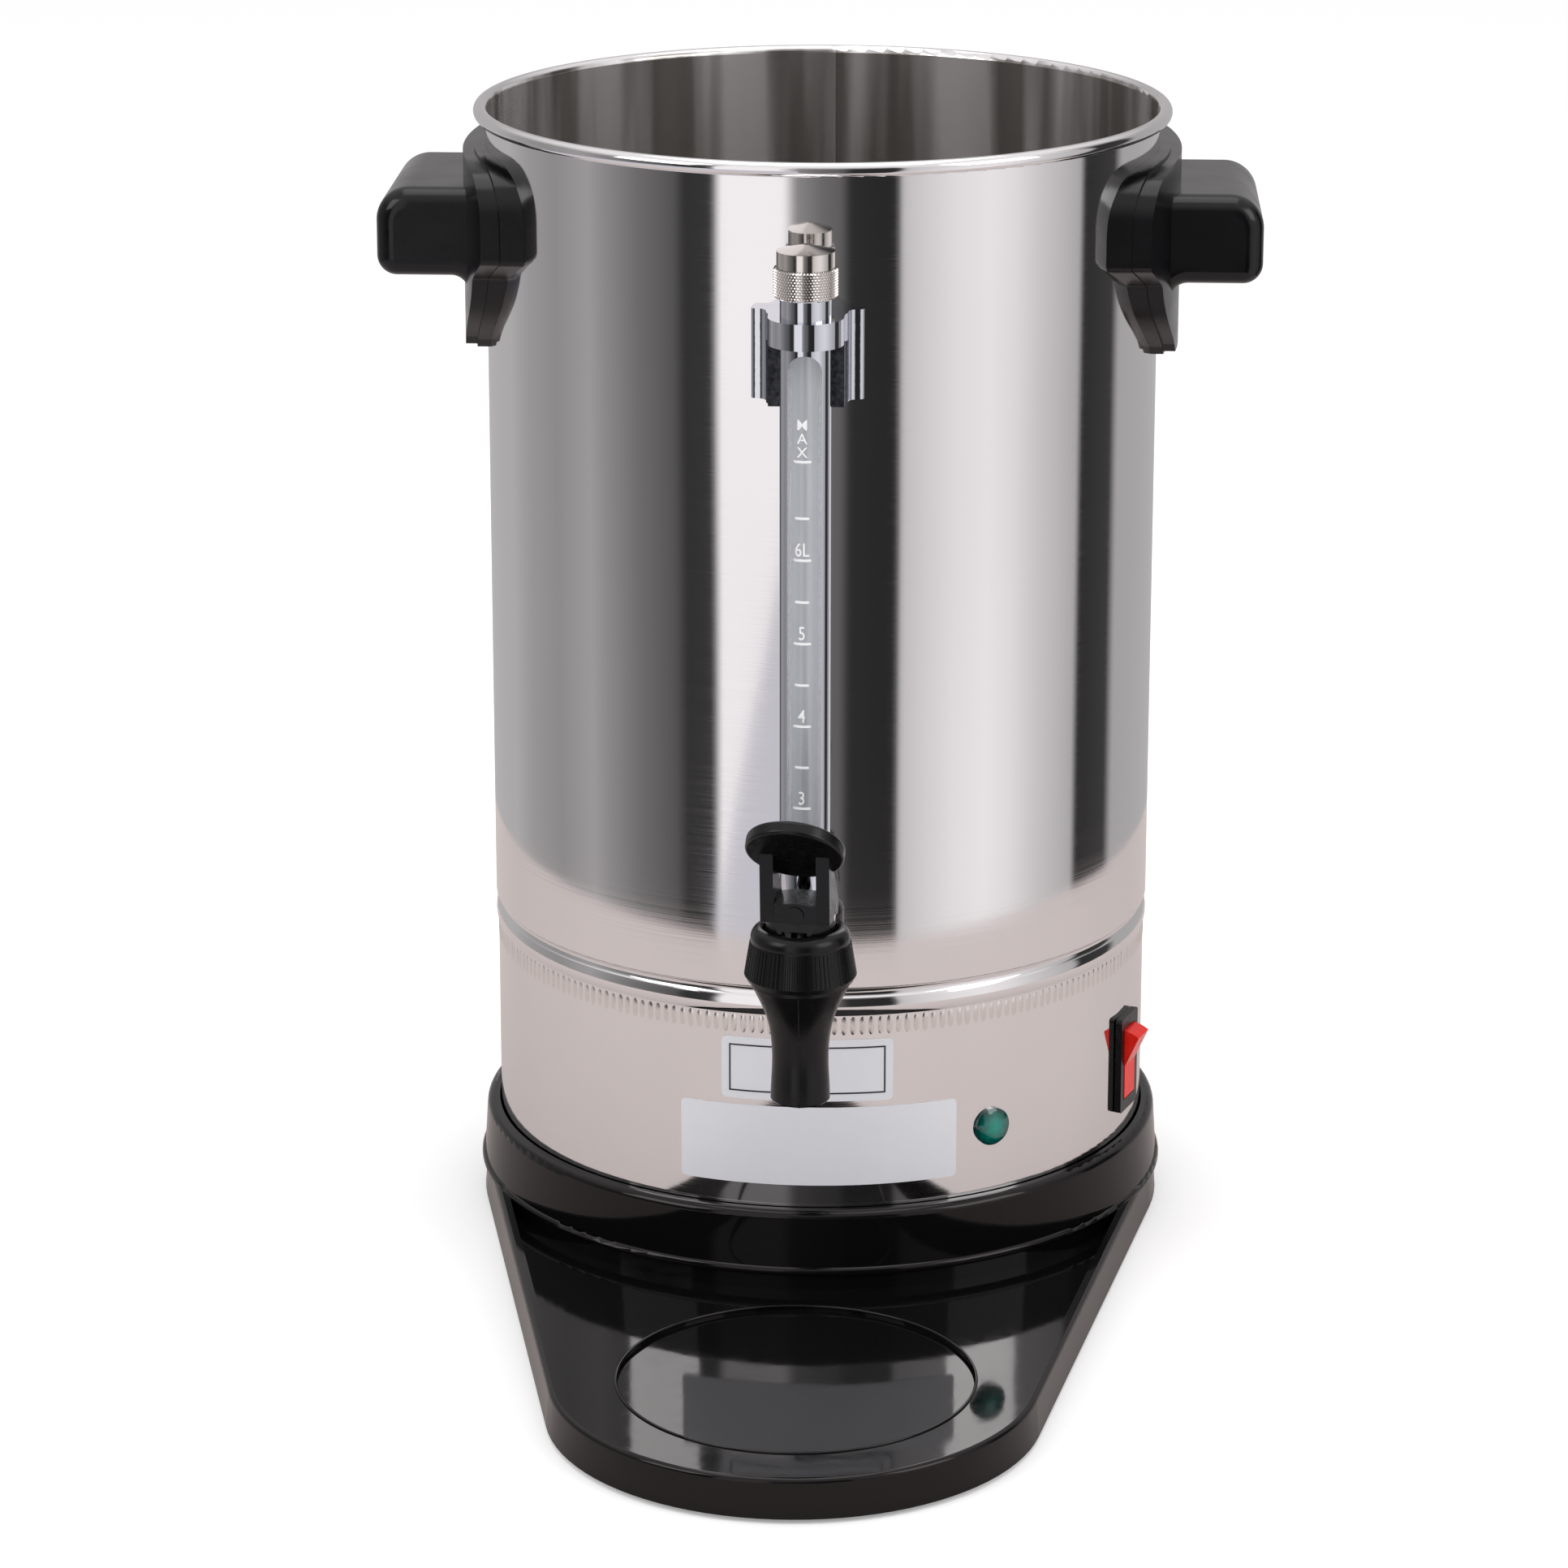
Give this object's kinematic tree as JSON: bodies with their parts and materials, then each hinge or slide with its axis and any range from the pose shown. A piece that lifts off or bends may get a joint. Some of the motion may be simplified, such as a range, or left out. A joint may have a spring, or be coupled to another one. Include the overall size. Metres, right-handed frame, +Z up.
{
  "type": "electric water boiler",
  "caption": "Counter-top electric water boiler with an open steel vessel, two side handles, a level gauge, a push-lever tap and a cup ledge at the front.",
  "frame": {"origin": "on the ground, under the middle of the whole object", "axes": "+Z up, the tap and the cup ledge towards -Y, the cord outlet towards +Y, +X to the right hand handle as seen from behind the tap"},
  "size_m": [0.286, 0.3962, 0.3765],
  "materials": {
    "polished_steel": "polished",
    "inner_steel": "brushed",
    "black_gloss": "gloss",
    "black_satin": "satin",
    "black_plastic": "satin",
    "zinc_steel": "zinc plated",
    "rubber": "matt",
    "aluminium": "plain",
    "element_steel": "heat tinted",
    "brown_plastic": "matt",
    "white_plastic": "matt",
    "plated_brass": "plated",
    "silicone": "matt",
    "spring_steel": "plain",
    "chrome": "plated",
    "glass": "clear",
    "warm_nickel": "plated, warm",
    "red_plastic": "gloss",
    "green_lens": "clear green"
  },
  "bodies": {
    "urn": {"body_shell": "polished_steel", "pot_bottom": "inner_steel", "base_collar": "black_gloss", "base_ledge": "black_gloss", "base_cover": "zinc_steel", "foot_front_left": "rubber", "foot_front_right": "rubber", "foot_rear_left": "rubber", "foot_rear_right": "rubber", "heater_plate": "aluminium", "heater_element": "element_steel", "thermostat": "brown_plastic", "thermal_cutout": "brown_plastic", "terminal_block": "white_plastic", "tap_shank": "plated_brass", "shank_seal_outer": "rubber", "shank_seal_inner": "rubber", "shank_nut": "plated_brass", "tap_body": "black_plastic", "tap_bonnet": "black_plastic", "tap_spring": "spring_steel", "gauge_tee": "chrome", "gauge_collet": "black_plastic", "gauge_seal_lower": "rubber", "gauge_seal_upper": "rubber", "gauge_glass": "glass", "gauge_guard": "chrome", "gauge_bracket": "chrome", "switch_housing": "black_gloss", "pilot_lamp": "green_lens", "lamp_nut": "black_plastic", "cord_gland": "black_plastic", "gland_nut": "black_plastic", "handle_right": "black_satin", "handle_left": "black_satin", "handle_pad_right": "black_satin", "handle_pad_left": "black_satin", "handle_stud_right": "zinc_steel", "handle_stud_left": "zinc_steel", "handle_nut_right": "zinc_steel", "handle_nut_left": "zinc_steel", "gauge_cap": "warm_nickel", "gauge_cap_washer": "rubber"},
    "valve_stem": {"tap_stem": "plated_brass", "seat_cup": "silicone", "lever_pin": "spring_steel"},
    "lever": {"tap_lever": "black_plastic"},
    "rocker": {"switch_rocker": "red_plastic"}
  },
  "joints": [
    {"name": "lever_tilt", "type": "hinge", "parent": "valve_stem", "child": "lever", "pos_m": [0, -0.08215, 0.1499], "axis": [0.9877, -0.1564, 0], "range_deg": [0, 35]},
    {"name": "stem_lift", "type": "slide", "parent": "urn", "child": "valve_stem", "axis": [0, 0, 1], "range_m": [0, 0.003], "stiffness_N_per_m": 400, "springref_m": -0.002, "deforming": ["tap_spring"]},
    {"name": "rocker_press", "type": "hinge", "parent": "urn", "child": "rocker", "pos_m": [0.10271, 0.03747, 0.06], "axis": [-0.342, -0.9397, 0], "range_deg": [0, 24]}
  ],
  "couplings": [
    {"joint": "lever_tilt", "follows": "stem_lift", "rad_per_m": 203.62}
  ]
}
